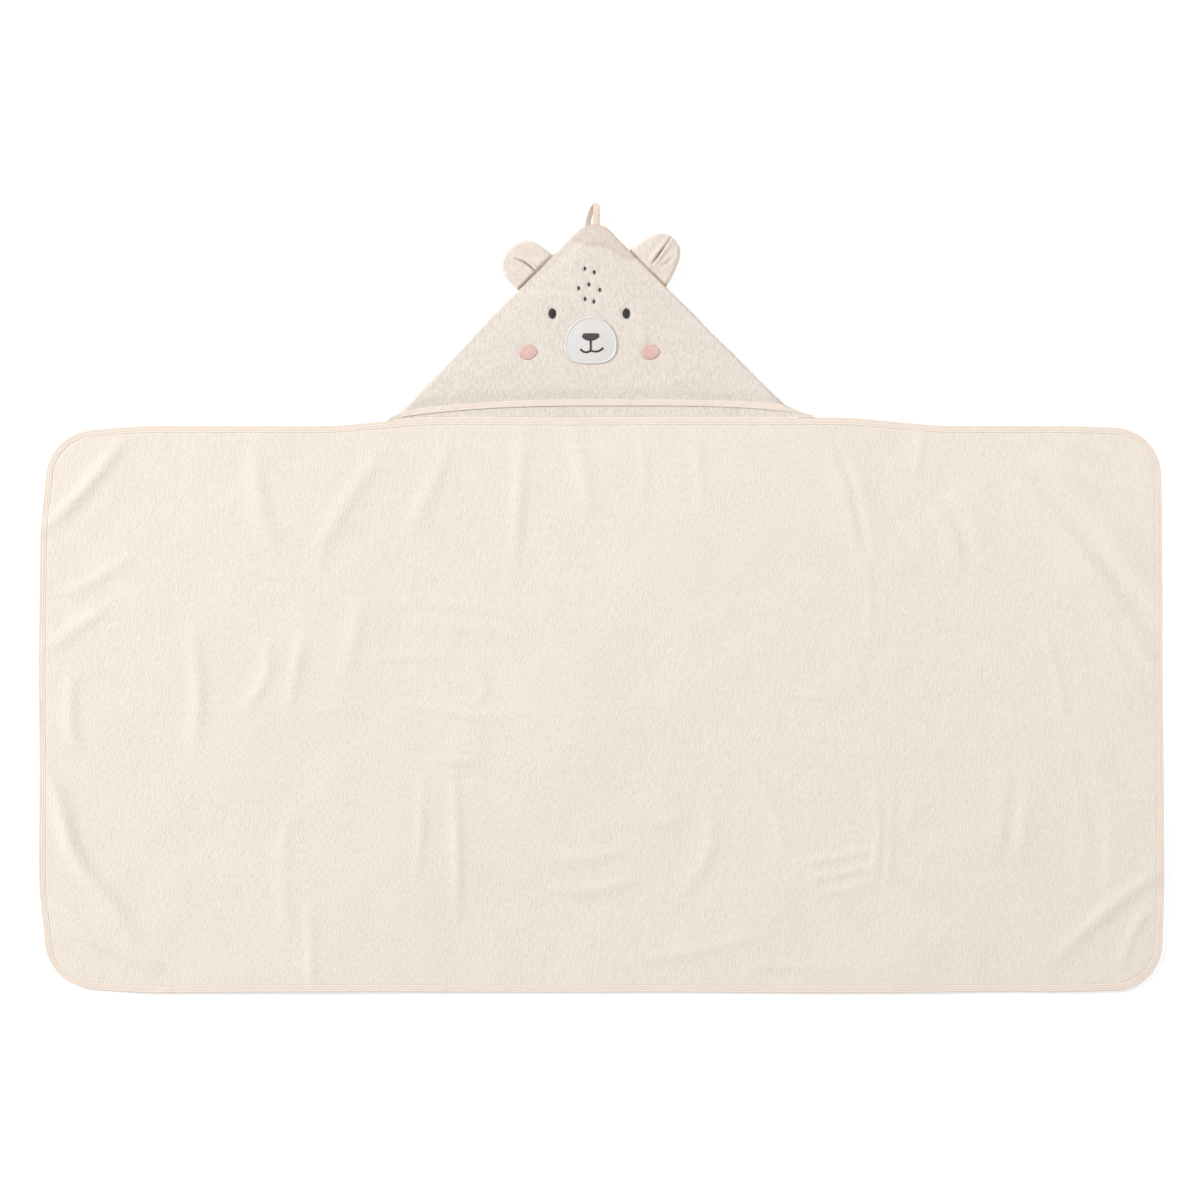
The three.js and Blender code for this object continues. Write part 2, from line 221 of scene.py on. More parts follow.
# Soft folds: height and width in mm, then the places that the fold's line goes through, in mm.
# A positive height is a ridge. A negative one is a groove between two low ridges.
FOLDS = [
    (5.4, 8, [(-606, 62), (-583, 82), (-557, 109), (-528, 143), (-505, 172)]),
    (3.0, 8, [(-578, 0), (-555, 11), (-526, 28), (-490, 48)]),
    (3.4, 8, [(-604, -58), (-580, -47), (-553, -28), (-520, -6)]),
    (3.6, 7, [(-563, -76), (-566, -120), (-560, -166)]),
    (3.4, 8, [(-436, -26), (-429, -98), (-434, -168)]),
    (2.9, 7, [(-352, -42), (-359, -88), (-381, -120)]),
    (2.9, 7, [(-318, -34), (-325, -77), (-332, -118)]),
    (2.5, 9, [(-257, 2), (-264, -45), (-274, -92)]),
    (3.2, 10, [(-371, 176), (-364, 104), (-345, 36)]),
    (3.2, 9, [(-230, 160), (-273, 99), (-308, 36)]),
    (2.8, 9, [(-160, 165), (-185, 109), (-206, 62)]),
    (3.4, 8, [(-83, 192), (-88, 109), (-95, 10)]),
    (2.6, 8, [(-36, 190), (-20, 136), (-10, 86)]),
    (1.8, 5, [(-152, 134), (-121, 112), (-106, 92)]),
    (2.0, 6, [(-214, -2), (-145, -9), (-84, -20)]),
    (1.6, 7, [(-214, -26), (-145, -32), (-76, -42)]),
    (1.7, 6, [(-256, -68), (-198, -62), (-144, -65)]),
    (2.2, 6, [(-214, -112), (-156, -122), (-92, -131)]),
    (3.0, 5.5, [(-158, -172), (-154, -255), (-152, -348)]),
    (2.2, 5.5, [(-190, -184), (-192, -247), (-197, -304)]),
    (1.8, 4.5, [(-188, -172), (-160, -175), (-128, -174)]),
    (8.5, 9, [(-597, -176), (-582, -206), (-571, -242), (-563, -270), (-547, -296),
              (-525, -322), (-494, -368)]),
    (4.5, 8, [(-596, -322), (-576, -335), (-543, -361), (-468, -398)]),
    (2.2, 5.5, [(-312, -322), (-309, -370), (-309, -430)]),
    (2.0, 8, [(-342, -270), (-338, -320), (-330, -372)]),
    (1.8, 7, [(-70, -276), (-17, -278), (34, -266)]),
    (2.8, 7, [(-56, -310), (-14, -312), (42, -300)]),
    (1.8, 6, [(-146, -58), (-124, -92), (-138, -116)]),
    (-4.2, 5.5, [(246, 172), (268, 116), (285, 36)]),
    (-3.2, 6.5, [(292, 112), (318, 72), (348, 30)]),
    (2.4, 6, [(341, 186), (338, 150), (334, 122)]),
    (-6.5, 9, [(360, 108), (387, 68), (396, 24)]),
    (-15.0, 12, [(452, 138), (510, 76), (556, 16), (604, -56)]),
    (-8.0, 9, [(446, 182), (492, 153), (540, 126)]),
    (-8.0, 9, [(546, -30), (574, -78), (602, -112)]),
    (3.0, 5.5, [(470, -28), (486, -86), (494, -134)]),
    (2.2, 7, [(516, -76), (542, -92), (566, -116)]),
    (-4.6, 8, [(444, -178), (438, -236), (432, -288)]),
    (-5.0, 9, [(508, -160), (528, -240), (526, -326)]),
    (4.0, 8, [(606, -288), (584, -300), (556, -319), (521, -349), (492, -376), (470, -396)]),
    (3.0, 6, [(592, -328), (577, -340), (562, -366), (554, -398)]),
    (3.8, 5.5, [(286, -174), (296, -240), (291, -302)]),
    (2.8, 5, [(309, -184), (309, -250), (304, -312)]),
    (2.2, 5, [(326, -196), (330, -226), (328, -262)]),
    (2.8, 4.5, [(208, -284), (254, -276), (296, -266)]),
    (2.6, 4.5, [(218, -300), (262, -293), (298, -283)]),
    (2.2, 4.5, [(228, -317), (262, -310), (296, -302)]),
    (2.8, 8, [(116, -212), (114, -270), (82, -322)]),
    (2.2, 6, [(181, -218), (188, -246), (196, -278)]),
    (1.8, 4.5, [(196, -102), (230, -105), (266, -107)]),
    (1.8, 4.5, [(212, -146), (238, -149), (266, -150)]),
    (1.8, 4.5, [(344, -156), (403, -160), (468, -166)]),
    (1.3, 4, [(284, 46), (286, 0), (286, -52)]),
    (1.8, 6, [(101, 178), (104, 136), (109, 90)]),
    (1.6, 5, [(40, 176), (46, 140), (44, 100)]),
    (0.7, 4, [(-560, -118), (-430, -121), (-210, -118)]),
    (1.6, 6, [(-330, -230), (-338, -262), (-334, -290)]),
    (2.0, 7, [(20, -226), (60, -240), (96, -232)]),
    (1.8, 6, [(30, -386), (92, -378), (166, -360)]),
    (1.6, 5, [(150, -394), (200, -392), (262, -396)]),
]

# The same for the hood's front layer alone.
HOOD_FOLDS = [
    (-3.0, 4, [(-34, 372), (-20, 379), (-6, 378), (10, 372), (26, 366)]),
    (1.6, 6, [(36, 302), (44, 288), (43, 268), (34, 252)]),
    (1.4, 7, [(-50, 262), (-40, 248), (-22, 240)]),
    (1.6, 6, [(50, 236), (80, 231), (112, 236)]),
    (1.3, 7, [(-130, 240), (-96, 250), (-60, 244)]),
    (1.4, 7, [(84, 262), (104, 250), (128, 240)]),
    (1.5, 8, [(30, 366), (46, 352), (54, 336)]),
]


def folded(x, y, folds):
    """Height that the folds add at each point."""
    total = np.zeros(x.shape)
    for height, width, places in folds:
        line = through(places) * MM
        width = width * MM
        reach = 7 * width
        low = line.min(0) - reach
        high = line.max(0) + reach
        close = (x > low[0]) & (x < high[0]) & (y > low[1]) & (y < high[1])
        if not close.any():
            continue
        off, share = near_line(x[close], y[close], line)
        fade = np.sin(np.pi * np.clip(share, 0, 1)) ** 0.7
        ridge = bell(off, width)
        if height < 0:
            ridge = ridge - 0.9 * bell(off, 2.6 * width)
        total[close] += FOLD_SOFTNESS * height * MM * fade * ridge
    return total


def lift(x, y):
    """How far the cloth is off the floor."""
    rise = 1.3 * noise(x, y, 240 * MM, 1) + 0.7 * noise(x, y, 90 * MM, 2)
    rise = rise + 0.35 * noise(x, y, 34 * MM, 3) + 0.9
    rise = rise * MM + folded(x, y, FOLDS)
    return 0.5 * (rise + np.sqrt(rise**2 + (0.6 * MM) ** 2))


def pile(x, y, seed):
    """The terry's uneven pile, coarser than its loops."""
    return MM * (0.06 * noise(x, y, 14 * MM, seed) + 0.05 * noise(x, y, 7 * MM, seed + 1))


def drift(points):
    """The cut edges wander a little, as sewn cloth does."""
    return points + 0.7 * MM * wander(points, 110 * MM, 5)


# ---------------- outlines

def crown_at(x):
    return CROWN * (1 - smooth(np.abs(x - CROWN_X), CROWN_FLAT, CROWN_END))


def drawn(points):
    """The towel's plain rounded rectangle, pulled out of true as the real one lies."""
    x, y = split(points)
    up = crown_at(x) * np.clip((y - TOP_EDGE + 0.2) / 0.2, 0, 1) ** 2
    across = np.abs(x / HALF_LENGTH) ** 4
    endwards = np.abs((y - MIDDLE_Y) / HALF_WIDTH) ** 4
    tuck = np.where(x < 0, LEFT_TUCK, RIGHT_TUCK)
    near_end = 1 - smooth(HALF_WIDTH - np.abs(y - MIDDLE_Y), 45 * MM, 120 * MM)
    near_side = 1 - smooth(HALF_LENGTH - np.abs(x), 25 * MM, 120 * MM)
    bow = np.where(x < 0, SIDE_BOW * endwards, RIGHT_BOW * smooth(y, -330 * MM, -60 * MM))
    inwards = (bow + tuck * near_end) * across
    worn = np.sign(y - MIDDLE_Y) * tuck * near_side * endwards
    return np.stack([x - np.sign(x) * inwards, y + up - worn], -1)


def towel_edge(inset, step=4 * MM):
    """The towel's edge, moved in by inset, as a closed line of points."""
    corner_x = HALF_LENGTH - CORNER
    low = BOTTOM_EDGE + CORNER
    high = TOP_EDGE - CORNER
    radius = CORNER - inset
    along = int(2 * corner_x / step)
    up = int((high - low) / step)
    round_steps = 22

    def straight(a, b, steps):
        t = np.linspace(0, 1, steps + 1)[1:-1, None]
        return mix(np.array(a), np.array(b), t)

    right, left = HALF_LENGTH - inset, inset - HALF_LENGTH
    bottom, top = BOTTOM_EDGE + inset, TOP_EDGE - inset
    plain = np.vstack([
        arc(corner_x, low, radius, -90, 0, round_steps),
        straight((right, low), (right, high), up),
        arc(corner_x, high, radius, 0, 90, round_steps),
        straight((corner_x, top), (-corner_x, top), along),
        arc(-corner_x, high, radius, 90, 180, round_steps),
        straight((left, high), (left, low), up),
        arc(-corner_x, low, radius, 180, 270, round_steps),
        straight((-corner_x, bottom), (corner_x, bottom), along),
    ])
    return drift(drawn(plain))


def open_edge_at(x):
    """The hood's open edge: it droops to the towel's corners, earlier on the left."""
    share = (x - HOOD_X) / HALF_OPEN_EDGE
    left = LEFT_DROOP * np.clip(-share, 0, None) ** 2.4
    right = RIGHT_DROOP * np.clip(share, 0, 1.12) ** 4
    return OPEN_EDGE_Y - left - right


def hood_sides(y, inset=0.0, flared=True):
    """Where the hood's two slanted sides are at a height. Their feet flare to meet the towel's edge."""
    half = SIDES_MEET_Y - y - inset * math.sqrt(2)
    drawn_in = 5 * MM * smooth(-y, -300 * MM, -212 * MM)
    left = HOOD_X - half + drawn_in
    right = HOOD_X + half
    if flared:
        up = y - HOOD_BASE_Y
        left = left - 7 * MM * np.clip(1 - up / (9 * MM), 0, 1) ** 2
        right = right + 20 * MM * np.clip(1 - up / (14 * MM), 0, 1) ** 1.2
    return left, right


def across_hood(x, y):
    """0 at the hood's middle to 1 at its slanted sides, and the distance down from where those would meet."""
    down = np.maximum(SIDES_MEET_Y - y, 1e-6)
    return np.clip(np.abs(x - HOOD_X) / down, 0, 1), down


def stand_off_at(x, y):
    """How far the hood's front stands off its back."""
    across, down = across_hood(x, y)
    share = np.clip(down / (SIDES_MEET_Y - OPEN_EDGE_Y), 0, 1)
    sewn = smooth(from_seam(x, y), 0.5 * MM, 18 * MM)
    return STAND_OFF * (1 - across**2) * (4 * share * (1 - share) + 0.15) * sewn


def from_seam(x, y):
    """Distance in from the hood's slanted sides and rounded tip."""
    across = np.abs(x - HOOD_X)
    centre = SIDES_MEET_Y - TIP_RADIUS * math.sqrt(2)
    left, right = hood_sides(y, flared=False)
    side = np.minimum(x - left, right - x) / math.sqrt(2)
    tip = TIP_RADIUS - np.hypot(across, y - centre)
    return np.where(y - centre > across, tip, side)


# ---------------- meshes


def face_outwards(mesh):
    """Turns every face of a closed mesh outwards."""
    shape = bmesh.new()
    shape.from_mesh(mesh)
    bmesh.ops.recalc_face_normals(shape, faces=shape.faces)
    shape.to_mesh(mesh)
    shape.free()


def make(name, vertices, faces, material, cloth=None):
    """A smooth mesh object. Its cloth attribute holds where each point lies on the flat fabric."""
    vertices = np.asarray(vertices, float).reshape(-1, 3)
    mesh = bpy.data.meshes.new(name)
    mesh.from_pydata(vertices.tolist(), [], faces)
    face_outwards(mesh)
    mesh.shade_smooth()
    places = vertices if cloth is None else np.asarray(cloth, float).reshape(-1, 3)
    flat = mesh.attributes.new("cloth", "FLOAT_VECTOR", "POINT")
    flat.data.foreach_set("vector", places.astype(np.float32).ravel())
    mesh.materials.append(material)
    obj = bpy.data.objects.new(name, mesh)
    bpy.context.scene.collection.objects.link(obj)
    return obj


def paint_shade(layer, above, below):
    """Stores a layer's painted shade on its two faces: its material mixes in the warm shadow colour by it, in
    folds, creases and along seams.
    """
    deep = layer.data.attributes.new("deep", "FLOAT", "POINT")
    deep.data.foreach_set("value", np.stack([above, below]).astype(np.float32).ravel())


def quads(rows, columns, start=0, round_rows=False, round_columns=False):
    """Faces of a grid of points, row by row. A round direction joins its end to its start."""
    i = np.arange(rows if round_rows else rows - 1)[:, None]
    j = np.arange(columns if round_columns else columns - 1)[None]
    i2 = (i + 1) % rows
    j2 = (j + 1) % columns
    corners = [i * columns + j, i * columns + j2, i2 * columns + j2, i2 * columns + j]
    faces = np.stack([np.broadcast_to(c, (i.shape[0], j.shape[1])) for c in corners], -1)
    return (faces.reshape(-1, 4) + start).tolist()


def rods(count, rings, around):
    """Faces of closed rods, one after another: each is a stack of rings with a cap at both ends."""
    last = (rings - 1) * around
    one = quads(rings, around, round_columns=True)
    one += [list(range(around))[::-1], [last + k for k in range(around)]]
    size = rings * around
    return [[n * size + k for k in face] for n in range(count) for face in one]


def rim_faces(rows, columns):
    """Faces that join the outer edges of two grids, where the second's points follow the first's."""
    grid = np.arange(rows * columns).reshape(rows, columns)
    ring = np.concatenate([grid[0, :-1], grid[:-1, -1], grid[-1, :0:-1], grid[:0:-1, 0]])
    after = np.roll(ring, -1)
    return np.stack([grid.size + ring, grid.size + after, after, ring], 1).tolist()


def layer(name, flat, high, low, material):
    """One closed layer of cloth over a grid of places, between two heights at each."""
    rows, columns = flat.shape[:2]
    top = np.dstack([flat, high])
    bottom = np.dstack([flat, low])
    count = rows * columns
    faces = quads(rows, columns) + quads(rows, columns, count)
    faces += rim_faces(rows, columns)
    return make(name, np.vstack([top.reshape(-1, 3), bottom.reshape(-1, 3)]), faces, material)


def spread(length, step, ends=(0, 0.3, 0.8, 1.6, 2.8)):
    """Shares of a length at about even steps, closer together near both ends."""
    near = np.array(ends) * MM
    middle = np.arange(near[-1] + step, length - near[-1] - step / 2, step)
    return np.concatenate([near, middle, length - near[::-1]]) / length


# ---------------- materials

class Finish:
    """A procedural material in the making. Its patterns lie on the flat fabric."""

    def __init__(self, name):
        self.material = bpy.data.materials.new(name)
        self.material.use_nodes = True
        self.tree = self.material.node_tree
        self.shader = self.tree.nodes["Principled BSDF"]
        self.where = self.node("Attribute", attribute_name="cloth").outputs["Vector"]

    def feed(self, node, inputs):
        """Gives each input another node's output, or a number or colour of its own."""
        for key, value in inputs.items():
            if isinstance(value, bpy.types.NodeSocket):
                self.tree.links.new(value, node.inputs[key])
            else:
                node.inputs[key].default_value = value

    def node(self, kind, inputs={}, **settings):
        node = self.tree.nodes.new("ShaderNode" + kind)
        for key, value in settings.items():
            setattr(node, key, value)
        self.feed(node, inputs)
        return node

    def maths(self, operation, a, b):
        return self.node("Math", {0: a, 1: b}, operation=operation).outputs[0]

    def weighted(self, *parts):
        """The sum of parts, each an output and its weight."""
        terms = [self.maths("MULTIPLY", output, weight) for output, weight in parts]
        total = terms[0]
        for term in terms[1:]:
            total = self.maths("ADD", total, term)
        return total

    def grain(self, scale, detail=2.0, roughness=0.5):
        place = self.node("VectorMath", {0: self.where, 1: scale}, operation="MULTIPLY").outputs["Vector"]
        inputs = {"Vector": place, "Scale": 1.0, "Detail": detail, "Roughness": roughness}
        return self.node("TexNoise", inputs).outputs["Fac"]

    def tones(self, factor, stops):
        """Colours along a factor: (place, colour) pairs."""
        node = self.node("ValToRGB", {"Fac": factor})
        elements = node.color_ramp.elements
        while len(elements) < len(stops):
            elements.new(0.5)
        for element, (place, colour) in zip(elements, stops):
            element.position = place
            element.color = (*colour, 1)
        return node.outputs["Color"]

    def cloth(self, colour, height, distance, strength, roughness, sheen):
        """What every fabric has: a colour, relief from a height, and a soft sheen."""
        bump = self.node("Bump", {"Strength": strength, "Distance": distance, "Height": height})
        self.feed(self.shader, {
            "Base Color": colour,
            "Normal": bump.outputs["Normal"],
            "Roughness": roughness,
            "Specular IOR Level": 0.25,
            "Sheen Weight": sheen,
            "Sheen Roughness": 0.5,
        })
        return self.material


def shade(colour, by):
    return tuple(min(1.0, c * by) for c in colour)


DEEP_SHADOW = (0.42, 0.27, 0.18)  # warm, as light between cream cloths is


def terry(name, colour, contrast=1.0):
    """Cotton terry: short loops in close rows that run up the cloth, with a soft fuzz over them."""
    finish = Finish(name)
    ribs = finish.grain((560, 190, 400), 1.0)
    loops = finish.grain((1000, 520, 800), 2.0, 0.6)
    fuzz = finish.grain((2600, 1500, 2000), 1.0, 0.6)
    patches = finish.grain((34, 24, 30), 3.0, 0.6)
    height = finish.weighted((ribs, 0.9), (loops, 0.6), (fuzz, 0.1))
    tone = finish.weighted((height, 0.5), (patches, 0.08))
    stops = [
        (0.30, shade(colour, 1 - 0.07 * contrast)),
        (0.44, colour),
        (0.58, shade(colour, 1 + 0.045 * contrast)),
    ]
    # Painted shade: a layer's stored shade mixes DEEP_SHADOW into the terry's colour in its folds, creases
    # and seams.
    deep = finish.node("Attribute", attribute_name="deep").outputs["Fac"]
    inputs = {"Factor": deep, "A": finish.tones(tone, stops), "B": (*DEEP_SHADOW, 1)}
    blend = finish.node("Mix", inputs, data_type="RGBA").outputs["Result"]
    return finish.cloth(blend, height, 1.2 * MM, 0.42, 0.95, 0.12)


def woven(name, colour, threads, contrast, depth):
    """A flat weave: fine crossing threads with a slight slub."""
    finish = Finish(name)
    bands = []
    for phase, axis in enumerate("XY"):
        inputs = {"Vector": finish.where, "Scale": threads, "Distortion": 0.6, "Phase Offset": phase}
        bands.append(finish.node("TexWave", inputs, bands_direction=axis).outputs["Fac"])
    weave = finish.maths("MULTIPLY", *bands)
    slub = finish.grain((160, 160, 160), 3.0, 0.6)
    tone = finish.weighted((weave, 0.45), (slub, 0.55))
    stops = [(0.1, shade(colour, 1 - contrast)), (0.5, colour), (0.8, shade(colour, 1 + contrast / 2))]
    return finish.cloth(finish.tones(tone, stops), weave, depth, 0.6, 0.85, 0.1)


def thread(name, colour, contrast):
    """Embroidery and sewing thread: a slight shine and uneven tone from strand to strand."""
    finish = Finish(name)
    twist = finish.grain((900, 900, 900), 2.0, 0.6)
    strands = finish.grain((240, 240, 240), 2.0, 0.6)
    tone = finish.weighted((twist, 0.5), (strands, 0.5))
    stops = [(0.3, shade(colour, 1 - contrast)), (0.5, colour), (0.7, shade(colour, 1 + contrast))]
    return finish.cloth(finish.tones(tone, stops), twist, 0.1 * MM, 0.4, 0.55, 0.1)


TERRY = terry("terry", (0.82, 0.745, 0.672))
HOOD_TERRY = terry("hood_terry", (0.757, 0.685, 0.618), 2.1)
EAR_TERRY = terry("ear_terry", (0.775, 0.69, 0.612), 1.7)
TAPE = woven("tape", (0.88, 0.77, 0.68), 700, 0.05, 0.1 * MM)
LOOP_TAPE = woven("loop_tape", (0.84, 0.71, 0.61), 700, 0.06, 0.1 * MM)
PATCH = woven("patch", (0.735, 0.71, 0.69), 1100, 0.03, 0.05 * MM)
WHITE_THREAD = thread("white_thread", (0.78, 0.76, 0.74), 0.05)
SEAM_THREAD = thread("seam_thread", (0.81, 0.68, 0.58), 0.06)
CHARCOAL = thread("charcoal_thread", (0.045, 0.04, 0.048), 0.35)
NOSE_GREY = thread("nose_thread", (0.075, 0.07, 0.078), 0.35)
PINK = thread("pink_thread", (0.785, 0.535, 0.485), 0.10)


# ---------------- the towel's body

def pressed(into):
    """0 inside a tape, where the terry is pressed thin, to 1 clear of it."""
    return smooth(into, TAPE_WIDTH - 1.2 * MM, TAPE_WIDTH + 0.8 * MM)


def make_towel():
    inset = 1.2 * MM
    step = 3.2 * MM
    near_tape = (0, 0.3, 0.8, 1.6, 2.8, 4.4, 5.6, 6.3, 7.0, 7.7, 9)
    u = spread(2 * (HALF_LENGTH - inset), step, near_tape)
    v = spread(2 * (HALF_WIDTH - inset), step, near_tape)
    y = MIDDLE_Y + (2 * v - 1) * (HALF_WIDTH - inset)
    past_corner = np.clip(np.abs(y - MIDDLE_Y) - (HALF_WIDTH - CORNER), 0, None)
    radius = CORNER - inset
    half = HALF_LENGTH - CORNER + np.sqrt(np.maximum(radius**2 - past_corner**2, 0))
    x = (2 * u[None] - 1) * half[:, None]
    y = np.broadcast_to(y[:, None], x.shape)

    over_x = np.abs(x) - (HALF_LENGTH - CORNER)
    over_y = np.abs(y - MIDDLE_Y) - (HALF_WIDTH - CORNER)
    outside = np.hypot(np.maximum(over_x, 0), np.maximum(over_y, 0))
    into = CORNER - outside - np.minimum(np.maximum(over_x, over_y), 0)

    flat = drift(drawn(np.stack([x, y], -1)))
    x, y = split(flat)
    up = lift(x, y)
    free = pressed(into)
    high = up + mix(2.15 * MM, 1.02 * CLOTH, free) + free * pile(x, y, 11)
    low = up + mix(0.9 * MM, 0.12 * MM, free) + free * np.abs(pile(x, y, 21))
    return layer("towel_cloth", flat, high, low, TERRY)


def tape_top(inset):
    """Height of the tape's upper face, with its two stitch rows pulled in."""
    near = np.clip(inset / TAPE_TURN, 0, 1)
    height = TAPE_FOLD + 1.75 * MM * np.sqrt(1 - (1 - near) ** 2)
    for row in STITCH_ROWS:
        height = height - 0.28 * MM * bell(inset - row, 0.55 * MM)
    return height - 0.25 * MM * smooth(inset, 0.9 * TAPE_WIDTH, TAPE_WIDTH)


def tape_section():
    """How far in from its folded edge and how high the tape is: over the top, and back inside."""
    insets = [0, 0.1 * MM, 0.35 * MM, 0.7 * MM, 1.1 * MM, 4.2 * MM, TAPE_WIDTH - 0.4 * MM, TAPE_WIDTH]
    for row in STITCH_ROWS:
        insets += [row + off * MM for off in (-0.6, -0.3, 0, 0.3, 0.6)]
    top = [(inset, tape_top(inset)) for inset in sorted(insets)]
    inner = (TAPE_WIDTH, 6.7 * MM, 5 * MM, 3 * MM, 1.6 * MM)
    inner = [(inset, tape_top(inset) - TAPE_WALL) for inset in inner]
    bend = [(0.9 * MM, TAPE_FOLD)]
    inner_under = [(inset, 2 * TAPE_FOLD - z) for inset, z in reversed(inner)]
    under = [(inset, max(0.06 * MM, 2 * TAPE_FOLD - z)) for inset, z in reversed(top[1:])]
    return top + inner + bend + inner_under + under


def tape(name, edge_at, base_at, closed=False, extra=None, thinner=1.0):
    """A folded tape along an edge. edge_at gives the edge moved in by an inset, and base_at its height."""
    rings = []
    for inset, height in tape_section():
        points = edge_at(inset)
        x, y = split(points)
        pucker = 0.16 * MM * noise(x, y, 9 * MM, 41) * (height / TAPE_FOLD - 1)
        more = 0 if extra is None else extra(points, inset, height)
        rings.append(np.column_stack([x, y, base_at(x, y) + thinner * height + pucker + more]))
    grid = np.stack(rings)
    rows, columns = grid.shape[:2]
    faces = quads(rows, columns, round_rows=True, round_columns=closed)
    if not closed:
        faces.append([i * columns for i in range(rows)])
        faces.append([i * columns + columns - 1 for i in range(rows)])
    return make(name, grid.reshape(-1, 3), faces, TAPE)


def stitches(name, edge_at, base_at, closed=False, thinner=1.0):
    """The two rows of stitches on a tape made with the same arguments. Each stitch dips in at its ends."""
    length = 2.3 * MM
    pitch = 3.0 * MM
    thick = 0.19 * MM
    vertices = []
    around = 6
    steps = np.array([-0.5, -0.38, -0.15, 0.15, 0.38, 0.5])
    girth = np.array([0.45, 0.9, 1.0, 1.0, 0.9, 0.45])
    sink = np.array([-1.3, -0.2, 0.35, 0.35, -0.2, -1.3])
    angle = turn(around)
    for inset in STITCH_ROWS:
        edge = edge_at(inset)
        x, y = split(edge)
        line = np.column_stack([x, y, base_at(x, y) + thinner * tape_top(inset) + STITCH_RISE])
        points, along = even_steps(line, pitch, closed)
        side = np.cross(along, (0, 0, 1.0))
        side /= np.linalg.norm(side, axis=1)[:, None]
        normal = np.cross(side, along)
        ring = (
            points[:, None, None]
            + along[:, None, None] * (steps * length)[None, :, None, None]
            + normal[:, None, None] * (sink * thick)[None, :, None, None]
            + side[:, None, None] * (np.cos(angle)[None] * girth[:, None] * thick)[None, :, :, None]
            + normal[:, None, None] * (np.sin(angle)[None] * girth[:, None] * thick)[None, :, :, None]
        )
        vertices.append(ring.reshape(-1, 3))
    vertices = np.vstack(vertices)
    count = len(vertices) // (len(steps) * around)
    return make(name, vertices, rods(count, len(steps), around), SEAM_THREAD)


def make_towel_binding():
    join_x = -473 * MM  # where the tape's two ends overlap, on the bottom edge

    def overlap(points, inset, height):
        x, y = split(points)
        near = (y < MIDDLE_Y) & (height > TAPE_FOLD)
        lean = join_x + 0.5 * inset
        on = smooth(x, lean - 1 * MM, lean) * (1 - smooth(x, lean + 13 * MM, lean + 15 * MM))
        return np.where(near, 0.5 * MM * on, 0)

    binding = tape("binding_tape", towel_edge, lift, closed=True, extra=overlap)
    return binding, stitches("binding_stitches", towel_edge, lift, closed=True)


# ---------------- the hood

def hood_grid(base_at, inset, step, flared):
    """Places for a hood layer, in rows from its lower edge up to the rounded tip."""
    centre = SIDES_MEET_Y - TIP_RADIUS * math.sqrt(2)
    radius = TIP_RADIUS - inset
    turn_y = centre + radius / math.sqrt(2)
    base_y = base_at(HOOD_X)
    length = turn_y - base_y
    start = np.array([0, 0.3, 0.8, 1.5, 2.3, 3.1, 4, 5, 6.2, 7.6, 9.2]) * MM
    rise = np.concatenate([start, np.arange(start[-1] + step, length - step / 2, step), [length]])
    u = spread(2 * HALF_OPEN_EDGE, step)
    x = np.broadcast_to(mix(HOOD_X - HALF_OPEN_EDGE, HOOD_X + HALF_OPEN_EDGE, u), (len(rise), len(u)))
    share = (rise / length)[:, None]
    for _ in range(6):
        y = mix(base_at(x), turn_y, share)
        left, right = hood_sides(y, inset, flared)
        x = mix(left, right, u[None])
    angle = np.radians(np.linspace(45, 88.5, 16))[1:, None]
    tip_y = np.broadcast_to(centre + radius * np.sin(angle), (len(angle), len(u)))
    tip_x = HOOD_X + (2 * u[None] - 1) * radius * np.cos(angle)
    flat = np.stack([np.vstack([x, tip_x]), np.vstack([y, tip_y])], -1)
    y = flat[..., 1]
    fuzz = wander(flat, 6 * MM, 15)
    sway = wander(flat, 42 * MM, 17)
    free = smooth(y, HOOD_BASE_Y, HOOD_BASE_Y + 20 * MM)[..., None]
    below_ears = 1 - smooth(y, 300 * MM, 325 * MM)[..., None]
    return flat + (0.3 * fuzz + 1.1 * sway * below_ears) * free * MM


def rounded(into, radius, power=2.0):
    """0 at an edge, rising like a quarter circle to 1 a radius in. A higher power is squarer."""
    near = np.clip(into / radius, 0, 1)
    return np.maximum(1 - (1 - near) ** power, 0) ** (1 / power)


def make_hood_back():
    def base(x):
        return TOP_EDGE + crown_at(x) - 0.7 * MM

    flat = hood_grid(base, 0, 2.4 * MM, True)
    x, y = split(flat)
    up = lift(x, y)
    near_edge = rounded(np.maximum(from_seam(x, y), 0), 3 * MM)
    near_base = rounded(y - base(x), 1.4 * MM)
    low = up + mix(2.7 * MM, 0.12 * MM, near_edge) + 1.0 * MM * (1 - near_base)
    low = low + near_edge * np.abs(pile(x, y, 31))
    high = up + 2.95 * MM + near_base * near_edge * pile(x, y, 36) - 0.4 * MM * (1 - near_base)
    obj = layer("hood_back_cloth", flat, np.maximum(high, low + 0.2 * MM), low, HOOD_TERRY)
    # Painted shade along the turned seams, fading out near the hood's base.
    seam = seam_shade(x, y) * smooth(y, HOOD_BASE_Y + 8 * MM, HOOD_BASE_Y + 14 * MM)
    paint_shade(obj, seam, seam)
    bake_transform(obj)
    return obj


def seam_shade(x, y):
    """How much painted shade darkens the hood's turned seams against their faces."""
    return 0.22 * (1 - smooth(from_seam(x, y), 0.5 * MM, 3.5 * MM))


def padded_tip(x, y):
    """1 in the hood's tip, where the turned seams pad it, and 0 below their wavy lower edge."""
    edge = 375 * MM - 0.3 * (x - HOOD_X) + 2.5 * MM * np.sin((x - HOOD_X) / (7 * MM))
    return smooth(y, edge - 3 * MM, edge + 3 * MM)


def front_top(x, y):
    """Height of the hood's front face, without its pile."""
    rise = rounded(from_seam(x, y), 3 * MM, 2.6)
    rumpled = folded(x, y, HOOD_FOLDS) + 1.5 * MM * padded_tip(x, y)
    return lift(x, y) + 3.1 * MM + stand_off_at(x, y) + rise * (CLOTH + rumpled)


